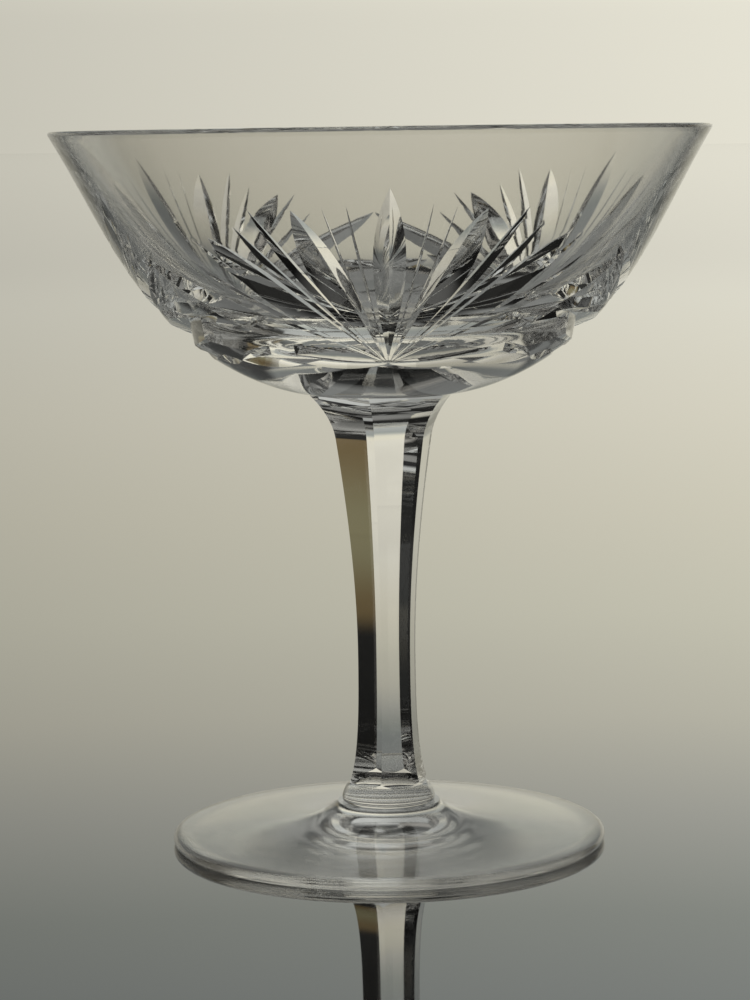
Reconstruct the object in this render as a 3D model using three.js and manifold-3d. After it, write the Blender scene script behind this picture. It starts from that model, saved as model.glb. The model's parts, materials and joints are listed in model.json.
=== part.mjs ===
// Crystal sherbet glass: a bowl cut with fans, a six-sided stem, a collar and a foot.
// Lengths are in millimetres and angles in degrees. +Z is up, the foot rests on z = 0 and the front faces -Y.
import * as THREE from 'three';
import { mergeVertices } from 'three/addons/utils/BufferGeometryUtils.js';
import Module from 'manifold-3d';

// Foot
const FOOT_RADIUS = 33.5;
const FOOT_HEIGHT = 6;
const FOOT_EDGE_THICKNESS = 1.7;
const FOOT_EDGE_ROUND = 0.9;
const FOOT_REST_WIDTH = 2;
const FOOT_HOLLOW_DEPTH = 1.1;
const FOOT_BROAD_SLOPE = 4;
const FOOT_BROAD_REACH = 17;
const FOOT_SHOULDER_LEAN = 35;
const FOOT_SHOULDER_REACH = 3;
const FOOT_STEP = 0.7;

// Collar
const COLLAR_HEIGHT = 2.9;
const COLLAR_RADIUS = 7.2;
const COLLAR_EDGE_ROUND = 0.5;
const COLLAR_TOP_LEAN = 50;
const COLLAR_STEP = 0.2;

// Stem: a radius is measured to the edges between the panels
const STEM_LENGTH = 60.8;
const STEM_SIDES = 6;
const STEM_TURN = -12.2;
const STEM_END_RADIUS = 5.8;
const STEM_END_HEIGHT = 1.2;
const STEM_BOTTOM_RADIUS = 6.5;
const STEM_BOTTOM_LEAN = -26;
const STEM_BOTTOM_REACH = 4;
const STEM_WAIST_RADIUS = 4.7;
const STEM_WAIST_HEIGHT = 20;
const STEM_WAIST_REACH = 7;
const STEM_SHOULDER_RADIUS = 7.8;
const STEM_SHOULDER_DROP = 7;
const STEM_SHOULDER_LEAN = 9;
const STEM_TOP_RADIUS = 12;
const STEM_TOP_LEAN = 47;

// Bowl
const BOWL_HEIGHT = 40;
const RIM_RADIUS = 50;
const RIM_WALL = 0.9;
const RIM_FLARE = 31;
const KNEE_RADIUS = 35;
const KNEE_HEIGHT = 14;
const KNEE_LEAN = 39;
const KNEE_WALL = 3;
const FLOOR_THICKNESS = 7;
const PAD_STEP = 0.5;
const PAD_SLOPE = 10;

// Fan cutting: a drop is measured from the rim, a rise from the ring, and a cut into the wall
const FAN_COUNT = 3;
const RING_HEIGHT = 6.3;
const WHEEL_HALF_ANGLE = 55;
const MIDDLE_LEAF = { angle: 0, drop: 8.2, cut: 1.7 };
const UPPER_LEAVES = [
  { angle: 18, drop: 11.2, cut: 1.8 },
  { angle: 37, drop: 15, cut: 1.7 },
  { angle: 60, drop: 18.2, cut: 1.2 },
];
const LOWER_LEAVES = [
  { angle: 55, rise: 13.1, cut: 1.1 },
  { angle: 46, rise: 8.1, cut: 1 },
  { angle: 75, rise: 7, cut: 2.1 },
];
const FINE_RAYS = [
  { angle: 8, drop: 9.5, cut: 0.18 },
  { angle: 12.5, drop: 9.9, cut: 0.18 },
  { angle: 26.5, drop: 10.9, cut: 0.6 },
  { angle: 30.5, drop: 13.3, cut: 0.6 },
  { angle: 41.5, drop: 14.8, cut: 0.4 },
  { angle: 44.5, drop: 18, cut: 0.4 },
];
const RING_LEAF_ANGLE = 26;
const RING_CUT = 1;
const SLANT_LEAF = { angle: 24.5, rise: 4, cut: 0.9 };
const FAN_LEAF_PEAK = 0.6;
const EVEN_LEAF_PEAK = 0.5;

// Fineness of the meshes
const ROUND_SEGMENTS = 60;
const PROFILE_STEPS = 7;
const EDGE_STEPS = 4;
const STEM_STEPS = 8;
const LEAF_STEPS = 6;
const FINE_STEPS = 4;
const WHEEL_CLEARANCE = 0.4;
const LEAF_END_LIFT = 0.03;
const WELD = 1e-4;
const BISECTIONS = 40;

// Places that follow from the sizes
const COLLAR_Z = FOOT_HEIGHT;
const STEM_Z = COLLAR_Z + COLLAR_HEIGHT;
const BOWL_Z = STEM_Z + STEM_LENGTH;
const PAD_RADIUS = STEM_TOP_RADIUS + PAD_STEP;
const FAN_ANGLE = 360 / FAN_COUNT;

const wasm = await Module();
wasm.setup();

function radians(degrees) {
  return THREE.MathUtils.degToRad(degrees);
}

function at(radius, z) {
  return new THREE.Vector2(radius, z);
}

// A direction in a profile, leaning outwards from straight up
function leaning(degrees) {
  return at(Math.sin(radians(degrees)), Math.cos(radians(degrees)));
}

// A curve between two profile points whose ends follow the given directions
function sweep(start, startWay, startReach, end, endWay, endReach) {
  const first = start.clone().addScaledVector(startWay, startReach);
  const second = end.clone().addScaledVector(endWay, -endReach);
  return new THREE.CubicBezierCurve(start, first, second, end);
}

function evenSweep(start, startWay, end, endWay) {
  const reach = start.distanceTo(end) / 3;
  return sweep(start, startWay, reach, end, endWay, reach);
}

function curves(...parts) {
  const path = new THREE.CurvePath();
  parts.forEach((part) => path.add(part));
  return path;
}

function turned(profile, segments, turn = 0) {
  return solidFrom(new THREE.LatheGeometry(profile, segments, radians(turn)).rotateX(Math.PI / 2));
}

// Geometry to a solid that can be cut, and back
function solidFrom(geometry) {
  geometry.deleteAttribute('normal');
  geometry.deleteAttribute('uv');
  const welded = mergeVertices(geometry, WELD);
  const triangles = [];
  for (let i = 0; i < welded.index.count; i += 3) {
    const [a, b, c] = welded.index.array.slice(i, i + 3);
    if (a !== b && b !== c && c !== a) {
      triangles.push(a, b, c);
    }
  }
  const mesh = new wasm.Mesh({
    numProp: 3,
    vertProperties: new Float32Array(welded.attributes.position.array),
    triVerts: new Uint32Array(triangles),
  });
  return new wasm.Manifold(mesh);
}

function geometryFrom(solid) {
  const mesh = solid.getMesh();
  const geometry = new THREE.BufferGeometry();
  geometry.setAttribute('position', new THREE.BufferAttribute(mesh.vertProperties, 3));
  geometry.setIndex(new THREE.BufferAttribute(mesh.triVerts, 1));
  geometry.computeVertexNormals();
  return geometry;
}

function crystal(name, solid, z) {
  const material = new THREE.MeshStandardMaterial({ color: 0xdde0d8, roughness: 0.04, metalness: 0 });
  const mesh = new THREE.Mesh(geometryFrom(solid), material);
  mesh.name = name;
  mesh.position.z = z;
  return mesh;
}

// Outside of the bowl, from the pad over the stem up to the rim's round
function bowlOutside() {
  const pad = at(PAD_RADIUS, 0);
  const knee = at(KNEE_RADIUS, KNEE_HEIGHT);
  const rim = RIM_CENTRE.clone().addScaledVector(leaning(RIM_FLARE + 90), RIM_WALL / 2);
  const turnIn = leaning(KNEE_LEAN);
  return curves(
    evenSweep(pad, leaning(90 - PAD_SLOPE), knee, turnIn),
    evenSweep(knee, turnIn, rim, leaning(RIM_FLARE)),
  );
}

const RIM_CENTRE = at(RIM_RADIUS - RIM_WALL / 2, BOWL_HEIGHT - RIM_WALL / 2);
const OUTSIDE = bowlOutside();

// Inside of the bowl, from the rim down to the middle of the floor: the wall thickens evenly down to the knee
function bowlInside() {
  const wall = OUTSIDE.curves[1];
  const upper = [];
  for (let i = PROFILE_STEPS; i >= 0; i -= 1) {
    const share = i / PROFILE_STEPS;
    const way = wall.getTangent(share);
    const thickness = THREE.MathUtils.lerp(KNEE_WALL, RIM_WALL, share);
    upper.push(wall.getPoint(share).addScaledVector(at(-way.y, way.x), thickness));
  }
  const [beforeKnee, knee] = upper.slice(-2);
  const inwards = knee.clone().sub(beforeKnee).normalize();
  const lower = evenSweep(knee, inwards, at(0, FLOOR_THICKNESS), leaning(-90));
  return [...upper, ...lower.getPoints(PROFILE_STEPS)];
}

function bowlBlank() {
  const half = RIM_WALL / 2;
  const start = radians(-RIM_FLARE);
  const rimRound = new THREE.EllipseCurve(RIM_CENTRE.x, RIM_CENTRE.y, half, half, start, start + Math.PI);
  return turned([
    at(0, 0),
    ...OUTSIDE.getPoints(PROFILE_STEPS),
    ...rimRound.getPoints(EDGE_STEPS),
    ...bowlInside(),
  ], ROUND_SEGMENTS);
}

// The place on the bowl's outside at an angle from the front and a height over the pad
function onBowl(angle, z) {
  let low = 0;
  let high = 1;
  for (let i = 0; i < BISECTIONS; i += 1) {
    const middle = (low + high) / 2;
    if (OUTSIDE.getPoint(middle).y < z) {
      low = middle;
    } else {
      high = middle;
    }
  }
  const radius = OUTSIDE.getPoint(low).x;
  const upwards = OUTSIDE.getTangent(low);
  const outwards = new THREE.Vector3(Math.sin(angle), -Math.cos(angle), 0);
  return {
    point: outwards.clone().multiplyScalar(radius).setZ(z),
    normal: outwards.clone().multiplyScalar(upwards.y).setZ(-upwards.x),
  };
}

// The straight line between two places, brought out to the bowl's surface
function routeOnBowl(start, end, share) {
  const from = onBowl(radians(start.angle), start.z).point;
  const to = onBowl(radians(end.angle), end.z).point;
  const point = from.lerp(to, share);
  return onBowl(Math.atan2(point.x, -point.y), point.z);
}

// What a V-edged wheel takes out along a leaf: pointed at both ends and deepest at its peak
function leafCutter(start, end, cut, peak, steps) {
  const spread = Math.tan(radians(WHEEL_HALF_ANGLE));
  const skew = Math.log(0.5) / Math.log(peak);
  const corners = [];
  for (let i = 0; i <= steps; i += 1) {
    const share = i / steps;
    const { point, normal } = routeOnBowl(start, end, share);
    const ahead = routeOnBowl(start, end, share + 1 / steps).point;
    const behind = routeOnBowl(start, end, share - 1 / steps).point;
    const across = ahead.sub(behind).cross(normal).normalize();
    const along = share ** skew;
    const sunk = 4 * cut * along * (1 - along) - LEAF_END_LIFT;
    const half = (sunk + WHEEL_CLEARANCE) * spread;
    const over = point.clone().addScaledVector(normal, WHEEL_CLEARANCE);
    corners.push(
      point.clone().addScaledVector(normal, -sunk),
      over.clone().addScaledVector(across, -half),
      over.clone().addScaledVector(across, half),
    );
  }
  return wedgeThrough(corners, steps);
}

// A solid through three-cornered sections, given as low, left and right corners
function wedgeThrough(corners, steps) {
  const faces = [0, 2, 1];
  for (let low = 0; low < 3 * steps; low += 3) {
    const [left, right, nextLow, nextLeft, nextRight] = [low + 1, low + 2, low + 3, low + 4, low + 5];
    faces.push(low, left, nextLeft, low, nextLeft, nextLow);
    faces.push(low, nextLow, nextRight, low, nextRight, right);
    faces.push(left, right, nextRight, left, nextRight, nextLeft);
  }
  const last = 3 * steps;
  faces.push(last, last + 1, last + 2);
  return solidFrom(new THREE.BufferGeometry().setFromPoints(corners).setIndex(faces));
}

// Leaves and fine rays that spread from the focus of one fan
function fanCutters(turn) {
  const focus = { angle: turn, z: RING_HEIGHT };
  const ray = (tip, z, side, steps) => {
    const end = { angle: turn + side * tip.angle, z };
    return leafCutter(focus, end, tip.cut, FAN_LEAF_PEAK, steps);
  };
  const cutters = [ray(MIDDLE_LEAF, BOWL_HEIGHT - MIDDLE_LEAF.drop, 1, LEAF_STEPS)];
  for (const side of [-1, 1]) {
    UPPER_LEAVES.forEach((tip) => cutters.push(ray(tip, BOWL_HEIGHT - tip.drop, side, LEAF_STEPS)));
    LOWER_LEAVES.forEach((tip) => cutters.push(ray(tip, RING_HEIGHT + tip.rise, side, LEAF_STEPS)));
    FINE_RAYS.forEach((tip) => cutters.push(ray(tip, BOWL_HEIGHT - tip.drop, side, FINE_STEPS)));
  }
  return cutters;
}

// Level leaves that join the foci in a ring: two on each side of a focus, and a short one between the fans
function ringCutters(turn) {
  const sides = [RING_LEAF_ANGLE, 2 * RING_LEAF_ANGLE];
  const joints = [0, ...sides, ...sides.map((angle) => FAN_ANGLE - angle).reverse(), FAN_ANGLE];
  const places = joints.map((angle) => ({ angle: turn + angle, z: RING_HEIGHT }));
  return places.slice(1).map((end, i) => leafCutter(places[i], end, RING_CUT, EVEN_LEAF_PEAK, FINE_STEPS));
}

// Slanting leaves that rise from the ring towards the focus on each side
function slantCutters(turn) {
  return [-1, 1].map((side) => {
    const start = { angle: turn + side * 2 * RING_LEAF_ANGLE, z: RING_HEIGHT };
    const end = { angle: turn + side * SLANT_LEAF.angle, z: RING_HEIGHT + SLANT_LEAF.rise };
    return leafCutter(start, end, SLANT_LEAF.cut, EVEN_LEAF_PEAK, FINE_STEPS);
  });
}

function bowl() {
  const cutters = [];
  for (let i = 0; i < FAN_COUNT; i += 1) {
    const turn = i * FAN_ANGLE;
    cutters.push(...fanCutters(turn), ...ringCutters(turn), ...slantCutters(turn));
  }
  return crystal('bowl', bowlBlank().subtract(wasm.Manifold.union(cutters)), BOWL_Z);
}

// Flat panels that sweep out to the bowl, rounded off where they meet the collar
function stem() {
  const bottom = at(STEM_BOTTOM_RADIUS, 0);
  const waist = at(STEM_WAIST_RADIUS, STEM_WAIST_HEIGHT);
  const shoulder = at(STEM_SHOULDER_RADIUS, STEM_LENGTH - STEM_SHOULDER_DROP);
  const top = at(STEM_TOP_RADIUS, STEM_LENGTH);
  const outline = curves(
    sweep(bottom, leaning(STEM_BOTTOM_LEAN), STEM_BOTTOM_REACH, waist, leaning(0), STEM_WAIST_REACH),
    evenSweep(waist, leaning(0), shoulder, leaning(STEM_SHOULDER_LEAN)),
    evenSweep(shoulder, leaning(STEM_SHOULDER_LEAN), top, leaning(STEM_TOP_LEAN)),
  );
  const panels = turned([
    at(0, 0),
    ...outline.getPoints(STEM_STEPS),
    at(0, STEM_LENGTH),
  ], STEM_SIDES, STEM_TURN);
  const roundBar = turned([
    at(0, 0),
    at(STEM_END_RADIUS, 0),
    at(STEM_BOTTOM_RADIUS, STEM_END_HEIGHT),
    at(PAD_RADIUS, STEM_LENGTH - STEM_SHOULDER_DROP),
    at(PAD_RADIUS, STEM_LENGTH),
    at(0, STEM_LENGTH),
  ], ROUND_SEGMENTS);
  return crystal('stem', panels.intersect(roundBar), STEM_Z);
}

// A cushioned ring with a rounded lower edge
function collar() {
  const round = COLLAR_EDGE_ROUND;
  const edge = new THREE.EllipseCurve(COLLAR_RADIUS - round, round, round, round, -Math.PI / 2, 0);
  const top = at(STEM_END_RADIUS + COLLAR_STEP, COLLAR_HEIGHT);
  const cushion = evenSweep(at(COLLAR_RADIUS, round), leaning(0), top, leaning(-COLLAR_TOP_LEAN));
  const ring = turned([
    at(0, 0),
    ...edge.getPoints(EDGE_STEPS),
    ...cushion.getPoints(EDGE_STEPS),
    at(0, COLLAR_HEIGHT),
  ], ROUND_SEGMENTS);
  return crystal('collar', ring, COLLAR_Z);
}

// A disc that rests on a flat ring, rises gently from its rounded edge and steeply under the collar
function foot() {
  const edgeX = FOOT_RADIUS - FOOT_EDGE_ROUND;
  const edgeHalf = FOOT_EDGE_THICKNESS / 2;
  const hollowRadius = edgeX - FOOT_REST_WIDTH;
  const hollow = new THREE.QuadraticBezierCurve(
    at(0, FOOT_HOLLOW_DEPTH), at(hollowRadius / 2, FOOT_HOLLOW_DEPTH), at(hollowRadius, 0));
  const edge = new THREE.EllipseCurve(edgeX, edgeHalf, FOOT_EDGE_ROUND, edgeHalf, -Math.PI / 2, Math.PI / 2);
  const top = sweep(
    at(edgeX, FOOT_EDGE_THICKNESS), leaning(FOOT_BROAD_SLOPE - 90), FOOT_BROAD_REACH,
    at(COLLAR_RADIUS + FOOT_STEP, FOOT_HEIGHT), leaning(-FOOT_SHOULDER_LEAN), FOOT_SHOULDER_REACH,
  );
  const disc = turned([
    ...hollow.getPoints(EDGE_STEPS),
    ...edge.getPoints(EDGE_STEPS),
    ...top.getPoints(PROFILE_STEPS),
    at(0, FOOT_HEIGHT),
  ], ROUND_SEGMENTS);
  return crystal('foot', disc, 0);
}

const glass = new THREE.Group();
glass.add(bowl(), stem(), collar(), foot());
export default glass;
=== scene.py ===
# Crystal sherbet glass: its four pieces of crystal, the floor, the light and the camera.
# Lengths are in millimetres and angles in degrees until a piece is finished, which puts it in metres.
import bisect
import json
import math

import bmesh
import bpy
from mathutils import Matrix, Vector

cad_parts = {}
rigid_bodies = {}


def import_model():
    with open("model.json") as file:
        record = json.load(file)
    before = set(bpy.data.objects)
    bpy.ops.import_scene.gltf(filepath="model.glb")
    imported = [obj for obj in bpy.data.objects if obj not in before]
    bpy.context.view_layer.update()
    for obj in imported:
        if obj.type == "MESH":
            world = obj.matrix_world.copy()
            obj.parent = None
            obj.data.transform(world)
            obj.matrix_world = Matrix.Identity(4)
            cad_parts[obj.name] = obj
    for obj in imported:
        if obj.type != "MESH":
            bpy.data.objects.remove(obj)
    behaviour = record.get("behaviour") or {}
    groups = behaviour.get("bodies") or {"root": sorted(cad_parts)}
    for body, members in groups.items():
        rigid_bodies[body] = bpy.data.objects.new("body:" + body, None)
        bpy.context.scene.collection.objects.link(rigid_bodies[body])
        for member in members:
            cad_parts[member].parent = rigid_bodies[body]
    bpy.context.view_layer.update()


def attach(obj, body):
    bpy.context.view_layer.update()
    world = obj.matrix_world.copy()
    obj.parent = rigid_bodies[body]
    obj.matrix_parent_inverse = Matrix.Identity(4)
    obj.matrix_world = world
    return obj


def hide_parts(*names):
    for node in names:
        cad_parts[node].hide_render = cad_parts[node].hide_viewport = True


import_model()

MM = 0.001

# Foot
FOOT_RADIUS = 33.5
FOOT_HEIGHT = 6
FOOT_EDGE_THICKNESS = 1.7
FOOT_EDGE_ROUND = 0.9
FOOT_REST_WIDTH = 2
FOOT_HOLLOW_DEPTH = 1.1
FOOT_BROAD_SLOPE = 4
FOOT_BROAD_REACH = 17
FOOT_SHOULDER_LEAN = 35
FOOT_SHOULDER_REACH = 3
FOOT_STEP = 0.7

# Collar
COLLAR_HEIGHT = 2.9
COLLAR_RADIUS = 7.2
COLLAR_EDGE_ROUND = 0.5
COLLAR_TOP_LEAN = 50
COLLAR_STEP = 0.2

# Stem: a radius is measured to the edges between the panels
STEM_LENGTH = 60.8
STEM_SIDES = 6
STEM_TURN = -12.2
STEM_END_RADIUS = 5.8
STEM_END_HEIGHT = 1.2
STEM_BOTTOM_RADIUS = 6.5
STEM_BOTTOM_LEAN = -26
STEM_BOTTOM_REACH = 4
STEM_WAIST_RADIUS = 4.7
STEM_WAIST_HEIGHT = 20
STEM_WAIST_REACH = 7
STEM_SHOULDER_RADIUS = 7.8
STEM_SHOULDER_DROP = 7
STEM_SHOULDER_LEAN = 9
STEM_TOP_RADIUS = 12
STEM_TOP_LEAN = 47

# Bowl
BOWL_HEIGHT = 40
RIM_RADIUS = 50
RIM_WALL = 0.9
RIM_FLARE = 31
KNEE_RADIUS = 35
KNEE_HEIGHT = 14
KNEE_LEAN = 39
KNEE_WALL = 3
FLOOR_THICKNESS = 7
PAD_STEP = 0.5
PAD_SLOPE = 10

# Fan cutting: (angle, drop from the rim or rise from the ring, cut into the wall)
FAN_COUNT = 3
RING_HEIGHT = 6.3
WHEEL_HALF_ANGLE = 55
MIDDLE_LEAF = (0, 8.2, 1.7)
UPPER_LEAVES = ((18, 11.2, 1.8), (37, 15, 1.7), (60, 18.2, 1.2))
LOWER_LEAVES = ((55, 13.1, 1.1), (46, 8.1, 1), (75, 7, 2.1))
FINE_RAYS = (
    (8, 9.5, 0.18),
    (12.5, 9.9, 0.18),
    (26.5, 10.9, 0.6),
    (30.5, 13.3, 0.6),
    (41.5, 14.8, 0.4),
    (44.5, 18, 0.4),
)
RING_LEAF_ANGLE = 26
RING_CUT = 1
SLANT_LEAF = (24.5, 4, 0.9)
FAN_LEAF_PEAK = 0.6
EVEN_LEAF_PEAK = 0.5

# Fineness of the meshes
ROUND_SEGMENTS = 240
PROFILE_STEPS = 40
EDGE_STEPS = 12
LEAF_STEPS = 24
WHEEL_CLEARANCE = 0.4
LEAF_END_LIFT = 0.03
TOUCH = 1e-3
SHARP_ANGLE = 15

# Crystal: the bowl and the stem are cut and polished, the collar and the foot are fire-polished
CRYSTAL_IOR = 1.55
CRYSTAL_COLOUR = (1, 0.995, 0.985, 1)
RIPPLE_SIZE_M = 0.012
CUT_ROUGHNESS = 0.025
CUT_RIPPLE_M = 0.00001
FIRE_ROUGHNESS = 0.08
FIRE_RIPPLE_M = 0.00003

# Floor
FLOOR_SIZE_M = 60
FLOOR_GAP = 0.05
FLOOR_COLOUR = (0.38, 0.38, 0.38, 1)
FLOOR_MIRROR = 1
FLOOR_ROUGHNESS = 0.03

# Light: a pale backdrop, brightest a little over the floor, and dim walls and a lamp in a dark room
BACKDROP_DIRECTION = -6
BACKDROP_HALF_WIDTH = 43
BACKDROP_SIDE_FADE = 8
# Backdrop: (elevation, colour)
BACKDROP = (
    (0, (0.65, 0.63, 0.54, 1)),
    (2.4, (0.66, 0.64, 0.55, 1)),
    (3.2, (0.71, 0.69, 0.59, 1)),
    (5.5, (0.74, 0.71, 0.59, 1)),
    (7.5, (0.74, 0.71, 0.58, 1)),
    (9.5, (0.73, 0.71, 0.58, 1)),
    (11.5, (0.67, 0.65, 0.54, 1)),
    (13.4, (0.52, 0.52, 0.46, 1)),
    (15.4, (0.38, 0.40, 0.36, 1)),
    (17.2, (0.34, 0.36, 0.34, 1)),
    (30, (0.44, 0.45, 0.43, 1)),
    (46, (0.44, 0.45, 0.43, 1)),
    (58, (0.02, 0.02, 0.02, 1)),
)
# Walls: (direction, half width, fade at the sides, top, fade over the top, colour)
WALLS = (
    (47.5, 3, 4, 6, 2.5, (0.13, 0.095, 0.045, 1)),
    (47.5, 3, 4, 1, 5, (0.165, 0.15, 0.085, 1)),
    (104, 26, 12, 22, 10, (0.28, 0.28, 0.26, 1)),
    (205, 38, 10, 22, 10, (0.32, 0.31, 0.28, 1)),
    (277, 9, 5, 22, 10, (0.25, 0.25, 0.23, 1)),
)
ROOM_COLOUR = (0.015, 0.015, 0.014, 1)
LAMP_COLOUR = (0.18, 0.18, 0.17, 1)
LAMP_HALF_ANGLE = 20
LAMP_SOFTNESS = 8
# The light grows towards the right, evenly up to a limit on each side
LIGHT_SLANT = 1.2
LIGHT_SLANT_LIMIT = 0.18

# Camera
CAMERA_DISTANCE = 436.6
CAMERA_ASIDE = -1.5
CAMERA_HEIGHT = 108.1
CAMERA_TURN = -1.4
CAMERA_PITCH = 7.2
CAMERA_ROLL = -0.8
CAMERA_LENS = 103.1
SENSOR_HEIGHT = 36

# Rendering
LIGHT_BOUNCES = 48

# Places that follow from the sizes
COLLAR_Z = FOOT_HEIGHT
STEM_Z = COLLAR_Z + COLLAR_HEIGHT
BOWL_Z = STEM_Z + STEM_LENGTH
PAD_RADIUS = STEM_TOP_RADIUS + PAD_STEP
FAN_ANGLE = 360 / FAN_COUNT


def at(radius, z):
    return Vector((radius, z))


# A direction in a profile, leaning outwards from straight up
def leaning(degrees):
    angle = math.radians(degrees)
    return at(math.sin(angle), math.cos(angle))


# Points of a curve between two profile points whose ends follow the given directions
def sweep(start, start_way, start_reach, end, end_way, end_reach):
    first = start + start_way * start_reach
    second = end - end_way * end_reach
    points = []
    for i in range(PROFILE_STEPS + 1):
        share = i / PROFILE_STEPS
        rest = 1 - share
        ends = start * rest**3 + end * share**3
        points.append(ends + first * (3 * rest**2 * share) + second * (3 * rest * share**2))
    return points


def even_sweep(start, start_way, end, end_way):
    reach = (end - start).length / 3
    return sweep(start, start_way, reach, end, end_way, reach)


# Points of an ellipse's arc
def arc(centre, across, up, start, end):
    points = []
    for i in range(EDGE_STEPS + 1):
        angle = math.radians(start + (end - start) * i / EDGE_STEPS)
        points.append(centre + at(across * math.cos(angle), up * math.sin(angle)))
    return points


# A point that faces the front at angle 0 and +X at angle 90
def around(angle, radius, z):
    return Vector((radius * math.sin(math.radians(angle)), -radius * math.cos(math.radians(angle)), z))


# A solid of revolution
def turned(profile, segments, turn=0):
    solid = bmesh.new()
    rings = []
    for radius, z in profile:
        count = segments if radius > TOUCH else 1
        rings.append([solid.verts.new(around(turn + 360 * i / segments, radius, z)) for i in range(count)])
    for lower, upper in zip(rings, rings[1:]):
        for i in range(segments):
            j = i + 1
            corners = [ring[k % len(ring)] for ring, k in ((lower, i), (lower, j), (upper, j), (upper, i))]
            if len(set(corners)) > 2:
                solid.faces.new(dict.fromkeys(corners))
    bmesh.ops.remove_doubles(solid, verts=solid.verts, dist=TOUCH)
    bmesh.ops.recalc_face_normals(solid, faces=solid.faces)
    return solid


def mesh_object(name, solid, collection):
    mesh = bpy.data.meshes.new(name)
    solid.to_mesh(mesh)
    solid.free()
    made = bpy.data.objects.new(name, mesh)
    collection.objects.link(made)
    return made


# A blank worked with other solids: cut by them, or kept only where they are
def worked(blank, tools, operation):
    bench = bpy.data.collections.new("bench")
    bpy.context.scene.collection.children.link(bench)
    piece = mesh_object("blank", blank, bpy.context.scene.collection)
    for tool in tools:
        mesh_object("tool", tool, bench)
    work = piece.modifiers.new("work", "BOOLEAN")
    work.operation = operation
    work.solver = "MANIFOLD"
    work.operand_type = "COLLECTION"
    work.collection = bench
    shape = piece.evaluated_get(bpy.context.evaluated_depsgraph_get())
    result = bmesh.new()
    result.from_mesh(shape.to_mesh())
    for done in [piece, *bench.objects]:
        bpy.data.objects.remove(done)
    bpy.data.collections.remove(bench)
    return result


RIM_CENTRE = at(RIM_RADIUS - RIM_WALL / 2, BOWL_HEIGHT - RIM_WALL / 2)


# Outside of the bowl, from the pad over the stem up to the rim's round
def bowl_outside():
    knee = at(KNEE_RADIUS, KNEE_HEIGHT)
    rim = RIM_CENTRE + leaning(RIM_FLARE + 90) * (RIM_WALL / 2)
    lower = even_sweep(at(PAD_RADIUS, 0), leaning(90 - PAD_SLOPE), knee, leaning(KNEE_LEAN))
    upper = even_sweep(knee, leaning(KNEE_LEAN), rim, leaning(RIM_FLARE))
    return lower + upper[1:]


OUTSIDE = bowl_outside()
OUTSIDE_HEIGHTS = [point.y for point in OUTSIDE]


# Inside of the bowl, from the rim to the middle of the floor: the wall thickens evenly down to the knee
def bowl_inside():
    wall = OUTSIDE[PROFILE_STEPS:]
    ways = [(after - before).normalized() for before, after in zip(wall, wall[1:])]
    ways.append(ways[-1])
    upper = []
    for i, (point, way) in enumerate(zip(wall, ways)):
        share = i / PROFILE_STEPS
        upper.append(point + at(-way.y, way.x) * (KNEE_WALL + (RIM_WALL - KNEE_WALL) * share))
    inwards = (upper[0] - upper[1]).normalized()
    lower = even_sweep(upper[0], inwards, at(0, FLOOR_THICKNESS), leaning(-90))
    return upper[::-1] + lower[1:]


def bowl_blank():
    rim_round = arc(RIM_CENTRE, RIM_WALL / 2, RIM_WALL / 2, -RIM_FLARE, 180 - RIM_FLARE)
    return turned([at(0, 0), *OUTSIDE, *rim_round, *bowl_inside()], ROUND_SEGMENTS)


# The place on the bowl's outside at an angle and a height over the pad, and its outward direction
def on_bowl(angle, z):
    above = min(max(bisect.bisect(OUTSIDE_HEIGHTS, z), 1), len(OUTSIDE) - 1)
    low, high = OUTSIDE[above - 1], OUTSIDE[above]
    radius = low.x + (high.x - low.x) * (z - low.y) / (high.y - low.y)
    upwards = (high - low).normalized()
    return around(angle, radius, z), around(angle, upwards.y, -upwards.x)


# The straight line between two places, brought out to the bowl's surface
def route_on_bowl(start, end, share):
    point = on_bowl(*start)[0].lerp(on_bowl(*end)[0], share)
    return on_bowl(math.degrees(math.atan2(point.x, -point.y)), point.z)


# What a V-edged wheel takes out along a leaf: pointed at both ends and deepest at its peak
def leaf_cutter(start, end, cut, peak):
    spread = math.tan(math.radians(WHEEL_HALF_ANGLE))
    skew = math.log(0.5) / math.log(peak)
    cutter = bmesh.new()
    sections = []
    for i in range(LEAF_STEPS + 1):
        share = i / LEAF_STEPS
        point, normal = route_on_bowl(start, end, share)
        ahead = route_on_bowl(start, end, share + 1 / LEAF_STEPS)[0]
        behind = route_on_bowl(start, end, share - 1 / LEAF_STEPS)[0]
        across = (ahead - behind).cross(normal).normalized()
        along = share**skew
        sunk = 4 * cut * along * (1 - along) - LEAF_END_LIFT
        half = across * ((sunk + WHEEL_CLEARANCE) * spread)
        over = point + normal * WHEEL_CLEARANCE
        corners = (point - normal * sunk, over - half, over + half)
        sections.append([cutter.verts.new(corner) for corner in corners])
    cutter.faces.new(sections[0])
    cutter.faces.new(sections[-1])
    for here, there in zip(sections, sections[1:]):
        for i in range(len(here)):
            cutter.faces.new((here[i - 1], here[i], there[i], there[i - 1]))
    bmesh.ops.recalc_face_normals(cutter, faces=cutter.faces)
    bmesh.ops.triangulate(cutter, faces=cutter.faces)
    return cutter


# Leaves and fine rays that spread from the focus of one fan
def fan_cutters(turn):
    tips = [(angle, BOWL_HEIGHT - drop, cut) for angle, drop, cut in UPPER_LEAVES + FINE_RAYS]
    tips += [(angle, RING_HEIGHT + rise, cut) for angle, rise, cut in LOWER_LEAVES]
    tips += [(-angle, z, cut) for angle, z, cut in tips]
    angle, drop, cut = MIDDLE_LEAF
    tips.append((angle, BOWL_HEIGHT - drop, cut))
    focus = (turn, RING_HEIGHT)
    return [leaf_cutter(focus, (turn + angle, z), cut, FAN_LEAF_PEAK) for angle, z, cut in tips]


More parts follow.
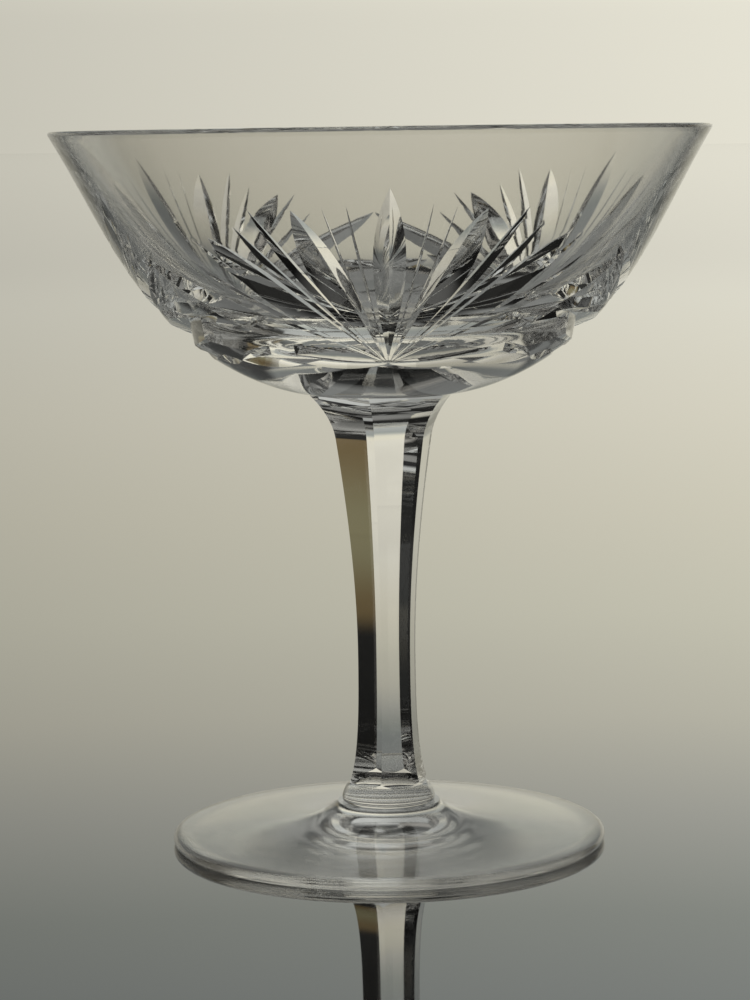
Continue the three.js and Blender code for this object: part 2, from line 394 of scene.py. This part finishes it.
# Level leaves that join the foci in a ring: two on each side of a focus, and a short one between the fans
def ring_cutters(turn):
    steps = (0, RING_LEAF_ANGLE, 2 * RING_LEAF_ANGLE)
    angles = [*steps, *(FAN_ANGLE - step for step in reversed(steps))]
    joints = [turn + angle for angle in angles]
    return [
        leaf_cutter((start, RING_HEIGHT), (end, RING_HEIGHT), RING_CUT, EVEN_LEAF_PEAK)
        for start, end in zip(joints, joints[1:])
    ]


# Slanting leaves that rise from the ring towards the focus on each side
def slant_cutters(turn):
    angle, rise, cut = SLANT_LEAF
    cutters = []
    for side in (-1, 1):
        start = (turn + side * 2 * RING_LEAF_ANGLE, RING_HEIGHT)
        cutters.append(leaf_cutter(start, (turn + side * angle, RING_HEIGHT + rise), cut, EVEN_LEAF_PEAK))
    return cutters


def bowl_solid():
    cutters = []
    for i in range(FAN_COUNT):
        turn = i * FAN_ANGLE
        cutters += fan_cutters(turn) + ring_cutters(turn) + slant_cutters(turn)
    return worked(bowl_blank(), cutters, "DIFFERENCE")


# Flat panels that sweep out to the bowl, rounded off where they meet the collar
def stem_solid():
    bottom = at(STEM_BOTTOM_RADIUS, 0)
    waist = at(STEM_WAIST_RADIUS, STEM_WAIST_HEIGHT)
    shoulder = at(STEM_SHOULDER_RADIUS, STEM_LENGTH - STEM_SHOULDER_DROP)
    top = at(STEM_TOP_RADIUS, STEM_LENGTH)
    outline = sweep(
        bottom, leaning(STEM_BOTTOM_LEAN), STEM_BOTTOM_REACH,
        waist, leaning(0), STEM_WAIST_REACH)
    outline += even_sweep(waist, leaning(0), shoulder, leaning(STEM_SHOULDER_LEAN))
    outline += even_sweep(shoulder, leaning(STEM_SHOULDER_LEAN), top, leaning(STEM_TOP_LEAN))
    panels = turned([at(0, 0), *outline, at(0, STEM_LENGTH)], STEM_SIDES, STEM_TURN)
    round_bar = turned([
        at(0, 0),
        at(STEM_END_RADIUS, 0),
        at(STEM_BOTTOM_RADIUS, STEM_END_HEIGHT),
        at(PAD_RADIUS, STEM_LENGTH - STEM_SHOULDER_DROP),
        at(PAD_RADIUS, STEM_LENGTH),
        at(0, STEM_LENGTH),
    ], ROUND_SEGMENTS)
    return worked(panels, [round_bar], "INTERSECT")


# A cushioned ring with a rounded lower edge
def collar_solid():
    edge_round = COLLAR_EDGE_ROUND
    edge = arc(at(COLLAR_RADIUS - edge_round, edge_round), edge_round, edge_round, -90, 0)
    top = at(STEM_END_RADIUS + COLLAR_STEP, COLLAR_HEIGHT)
    cushion = even_sweep(edge[-1], leaning(0), top, leaning(-COLLAR_TOP_LEAN))
    return turned([at(0, 0), *edge, *cushion, at(0, COLLAR_HEIGHT)], ROUND_SEGMENTS)


# A disc that rests on a flat ring, rises gently from its rounded edge and steeply under the collar
def foot_solid():
    edge_x = FOOT_RADIUS - FOOT_EDGE_ROUND
    half = FOOT_EDGE_THICKNESS / 2
    hollow_radius = edge_x - FOOT_REST_WIDTH
    hollow_reach = hollow_radius / 3
    hollow_top = at(0, FOOT_HOLLOW_DEPTH)
    hollow_edge = at(hollow_radius, 0)
    hollow_slope = (hollow_edge - at(hollow_radius / 2, FOOT_HOLLOW_DEPTH)).normalized()
    hollow = sweep(hollow_top, leaning(90), hollow_reach, hollow_edge, hollow_slope, hollow_reach)
    edge = arc(at(edge_x, half), FOOT_EDGE_ROUND, half, -90, 90)
    top = sweep(
        at(edge_x, FOOT_EDGE_THICKNESS), leaning(FOOT_BROAD_SLOPE - 90), FOOT_BROAD_REACH,
        at(COLLAR_RADIUS + FOOT_STEP, FOOT_HEIGHT), leaning(-FOOT_SHOULDER_LEAN), FOOT_SHOULDER_REACH)
    return turned([*hollow, *edge, *top, at(0, FOOT_HEIGHT)], ROUND_SEGMENTS)


# Level faces of a solid at a height
def level_faces(solid, z):
    return [face for face in solid.faces if all(abs(vert.co.z - z) < TOUCH for vert in face.verts)]


# Edges round the level end of a solid
def end_outline(solid, z):
    level = set(level_faces(solid, z))
    return [edge for face in level for edge in face.edges if len(level.intersection(edge.link_faces)) == 1]


# The end of a solid is marked as fused glass where the neighbour's end lies on it
def fuse_under(solid, z, neighbour, neighbour_z):
    rim = end_outline(solid, z)
    bmesh.ops.delete(solid, geom=level_faces(solid, z), context="FACES")
    verts = {}
    inner = []
    for edge in end_outline(neighbour, neighbour_z):
        for vert in edge.verts:
            if vert.index not in verts:
                verts[vert.index] = solid.verts.new((vert.co.x, vert.co.y, z))
        inner.append(solid.edges.new([verts[vert.index] for vert in edge.verts]))
    bmesh.ops.triangle_fill(solid, edges=rim + inner)
    fused = bmesh.ops.triangle_fill(solid, edges=inner)
    for face in fused["geom"]:
        if isinstance(face, bmesh.types.BMFace):
            face.material_index = 1
    bmesh.ops.recalc_face_normals(solid, faces=solid.faces)


# The whole end of a solid is marked as fused glass
def fuse_end(solid, z):
    for face in level_faces(solid, z):
        face.material_index = 1


# A piece in metres, at its height over the floor, that stands for its node
def finished(node, solid, z, roughness, ripple_height):
    bmesh.ops.scale(solid, vec=(MM, MM, MM), verts=solid.verts)
    piece = mesh_object(node + "_crystal", solid, bpy.context.scene.collection)
    piece.location.z = z * MM
    piece.data.shade_smooth()
    piece.data.set_sharp_from_angle(angle=math.radians(SHARP_ANGLE))
    piece.data.materials.append(crystal_material(node + "_crystal", roughness, ripple_height))
    piece.data.materials.append(FUSED)
    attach(piece, "root")
    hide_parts(node)


def new_material(name):
    material = bpy.data.materials.new(name)
    material.use_nodes = True
    material.node_tree.nodes.clear()
    return material, material.node_tree.nodes, material.node_tree.links


# Glass that goes on from one piece into the next
def fused_glass():
    material, nodes, links = new_material("fused_glass")
    output = nodes.new("ShaderNodeOutputMaterial")
    clear = nodes.new("ShaderNodeBsdfTransparent")
    links.new(clear.outputs["BSDF"], output.inputs["Surface"])
    return material


# Lead crystal with a faint ripple
def crystal_material(name, roughness, ripple_height):
    material, nodes, links = new_material(name)
    output = nodes.new("ShaderNodeOutputMaterial")
    glass = nodes.new("ShaderNodeBsdfPrincipled")
    glass.inputs["Base Color"].default_value = CRYSTAL_COLOUR
    glass.inputs["Roughness"].default_value = roughness
    glass.inputs["IOR"].default_value = CRYSTAL_IOR
    glass.inputs["Transmission Weight"].default_value = 1
    place = nodes.new("ShaderNodeTexCoord")
    ripple = nodes.new("ShaderNodeTexNoise")
    ripple.inputs["Scale"].default_value = 1 / RIPPLE_SIZE_M
    ripple.inputs["Detail"].default_value = 1
    bump = nodes.new("ShaderNodeBump")
    bump.inputs["Strength"].default_value = 1
    bump.inputs["Distance"].default_value = ripple_height
    links.new(place.outputs["Object"], ripple.inputs["Vector"])
    links.new(ripple.outputs["Fac"], bump.inputs["Height"])
    links.new(bump.outputs["Normal"], glass.inputs["Normal"])
    links.new(glass.outputs["BSDF"], output.inputs["Surface"])
    return material


def floor_material():
    material, nodes, links = new_material("floor")
    output = nodes.new("ShaderNodeOutputMaterial")
    polish = nodes.new("ShaderNodeBsdfPrincipled")
    polish.inputs["Base Color"].default_value = FLOOR_COLOUR
    polish.inputs["Metallic"].default_value = FLOOR_MIRROR
    polish.inputs["Roughness"].default_value = FLOOR_ROUGHNESS
    links.new(polish.outputs["BSDF"], output.inputs["Surface"])
    return material


def lay_floor():
    sheet = bmesh.new()
    bmesh.ops.create_grid(sheet, x_segments=1, y_segments=1, size=FLOOR_SIZE_M / 2)
    floor = mesh_object("floor", sheet, bpy.context.scene.collection)
    floor.location.z = -FLOOR_GAP * MM
    floor.data.materials.append(floor_material())


# A share that goes softly from 0 to 1 while a value goes between two limits
def soft_share(nodes, links, value, none, full):
    share = nodes.new("ShaderNodeMapRange")
    share.interpolation_type = "SMOOTHSTEP"
    share.inputs["From Min"].default_value = none
    share.inputs["From Max"].default_value = full
    links.new(value, share.inputs["Value"])
    return share.outputs["Result"]


def product(nodes, links, first, second):
    times = nodes.new("ShaderNodeMath")
    times.operation = "MULTIPLY"
    links.new(first, times.inputs[0])
    links.new(second, times.inputs[1])
    return times.outputs["Value"]


def painted_over(nodes, links, share, under, colour):
    paint = nodes.new("ShaderNodeMixRGB")
    links.new(share, paint.inputs["Fac"])
    links.new(under, paint.inputs["Color1"])
    paint.inputs["Color2"].default_value = colour
    return paint.outputs["Color"]


def cosine(degrees):
    return math.cos(math.radians(degrees))


# A share that is full in front of a wall and fades out at its sides
def facing_share(nodes, links, level, direction, half_width, side_fade):
    facing = nodes.new("ShaderNodeVectorMath")
    facing.operation = "DOT_PRODUCT"
    facing.inputs[1].default_value = around(180 - direction, 1, 0)
    links.new(level, facing.inputs[0])
    edge = cosine(half_width + side_fade)
    return soft_share(nodes, links, facing.outputs["Value"], edge, cosine(half_width))


# The colours of the backdrop from the floor upwards
def backdrop_colour(nodes, links, height):
    ramp = nodes.new("ShaderNodeValToRGB")
    stops = ramp.color_ramp.elements
    while len(stops) < len(BACKDROP):
        stops.new(1)
    for stop, (elevation, colour) in zip(stops, BACKDROP):
        stop.position = cosine(90 - elevation)
        stop.color = colour
    links.new(height, ramp.inputs["Fac"])
    return ramp.outputs["Color"]


# The level direction of a look into the room, its height and its way to the right
def look_parts(nodes, links):
    look = nodes.new("ShaderNodeTexCoord")
    split = nodes.new("ShaderNodeSeparateXYZ")
    links.new(look.outputs["Generated"], split.inputs["Vector"])
    flat = nodes.new("ShaderNodeVectorMath")
    flat.operation = "MULTIPLY"
    flat.inputs[1].default_value = (1, 1, 0)
    links.new(look.outputs["Generated"], flat.inputs[0])
    level = nodes.new("ShaderNodeVectorMath")
    level.operation = "NORMALIZE"
    links.new(flat.outputs["Vector"], level.inputs[0])
    return level.outputs["Vector"], split.outputs["Z"], split.outputs["X"]


# The dark room with its walls and the lamp overhead
def room_colour(nodes, links, level, height):
    room = nodes.new("ShaderNodeRGB")
    room.outputs["Color"].default_value = ROOM_COLOUR
    colour = room.outputs["Color"]
    for direction, half_width, side_fade, top, top_fade, wall_colour in WALLS:
        share = facing_share(nodes, links, level, direction, half_width, side_fade)
        over = cosine(90 - top - top_fade)
        below_top = soft_share(nodes, links, height, over, cosine(90 - top))
        colour = painted_over(nodes, links, product(nodes, links, share, below_top), colour, wall_colour)
    lamp_edge = cosine(LAMP_HALF_ANGLE + LAMP_SOFTNESS)
    lamp_share = soft_share(nodes, links, height, lamp_edge, cosine(LAMP_HALF_ANGLE))
    return painted_over(nodes, links, lamp_share, colour, LAMP_COLOUR)


# The strength of the light, which grows towards the right
def slanted_strength(nodes, links, rightwards):
    slant = nodes.new("ShaderNodeMapRange")
    slant.inputs["From Min"].default_value = -LIGHT_SLANT_LIMIT
    slant.inputs["From Max"].default_value = LIGHT_SLANT_LIMIT
    slant.inputs["To Min"].default_value = 1 - LIGHT_SLANT * LIGHT_SLANT_LIMIT
    slant.inputs["To Max"].default_value = 1 + LIGHT_SLANT * LIGHT_SLANT_LIMIT
    links.new(rightwards, slant.inputs["Value"])
    return slant.outputs["Result"]


# The room with the backdrop hung in front of it
def light_room():
    world = bpy.data.worlds.new("room")
    world.use_nodes = True
    bpy.context.scene.world = world
    nodes = world.node_tree.nodes
    links = world.node_tree.links
    nodes.clear()
    level, height, rightwards = look_parts(nodes, links)
    share = facing_share(nodes, links, level, BACKDROP_DIRECTION, BACKDROP_HALF_WIDTH, BACKDROP_SIDE_FADE)
    hung = nodes.new("ShaderNodeMixRGB")
    links.new(share, hung.inputs["Fac"])
    links.new(room_colour(nodes, links, level, height), hung.inputs["Color1"])
    links.new(backdrop_colour(nodes, links, height), hung.inputs["Color2"])
    background = nodes.new("ShaderNodeBackground")
    links.new(hung.outputs["Color"], background.inputs["Color"])
    links.new(slanted_strength(nodes, links, rightwards), background.inputs["Strength"])
    output = nodes.new("ShaderNodeOutputWorld")
    links.new(background.outputs["Background"], output.inputs["Surface"])


def set_camera():
    lens = bpy.data.cameras.new("camera")
    lens.sensor_fit = "VERTICAL"
    lens.sensor_height = SENSOR_HEIGHT
    lens.sensor_width = SENSOR_HEIGHT
    lens.lens = CAMERA_LENS
    camera = bpy.data.objects.new("camera", lens)
    bpy.context.scene.collection.objects.link(camera)
    turn = Matrix.Rotation(math.radians(CAMERA_TURN), 4, "Z")
    tilt = Matrix.Rotation(math.radians(90 - CAMERA_PITCH), 4, "X")
    roll = Matrix.Rotation(math.radians(CAMERA_ROLL), 4, "Z")
    place = Matrix.Translation(Vector((CAMERA_ASIDE, -CAMERA_DISTANCE, CAMERA_HEIGHT)) * MM)
    camera.matrix_world = turn @ place @ tilt @ roll
    bpy.context.scene.camera = camera


def set_rendering():
    scene = bpy.context.scene
    scene.view_settings.view_transform = "Standard"
    scene.cycles.max_bounces = LIGHT_BOUNCES
    scene.cycles.glossy_bounces = LIGHT_BOUNCES
    scene.cycles.transmission_bounces = LIGHT_BOUNCES
    scene.cycles.transparent_max_bounces = LIGHT_BOUNCES


set_camera()
set_rendering()
light_room()
lay_floor()

FUSED = fused_glass()
bowl = bowl_solid()
stem = stem_solid()
collar = collar_solid()
foot = foot_solid()
fuse_under(bowl, 0, stem, STEM_LENGTH)
fuse_under(collar, COLLAR_HEIGHT, stem, 0)
fuse_under(foot, FOOT_HEIGHT, collar, 0)
fuse_end(stem, STEM_LENGTH)
fuse_end(stem, 0)
fuse_end(collar, 0)
finished("bowl", bowl, BOWL_Z, CUT_ROUGHNESS, CUT_RIPPLE_M)
finished("stem", stem, STEM_Z, CUT_ROUGHNESS, CUT_RIPPLE_M)
finished("collar", collar, COLLAR_Z, FIRE_ROUGHNESS, FIRE_RIPPLE_M)
finished("foot", foot, 0, FIRE_ROUGHNESS, FIRE_RIPPLE_M)
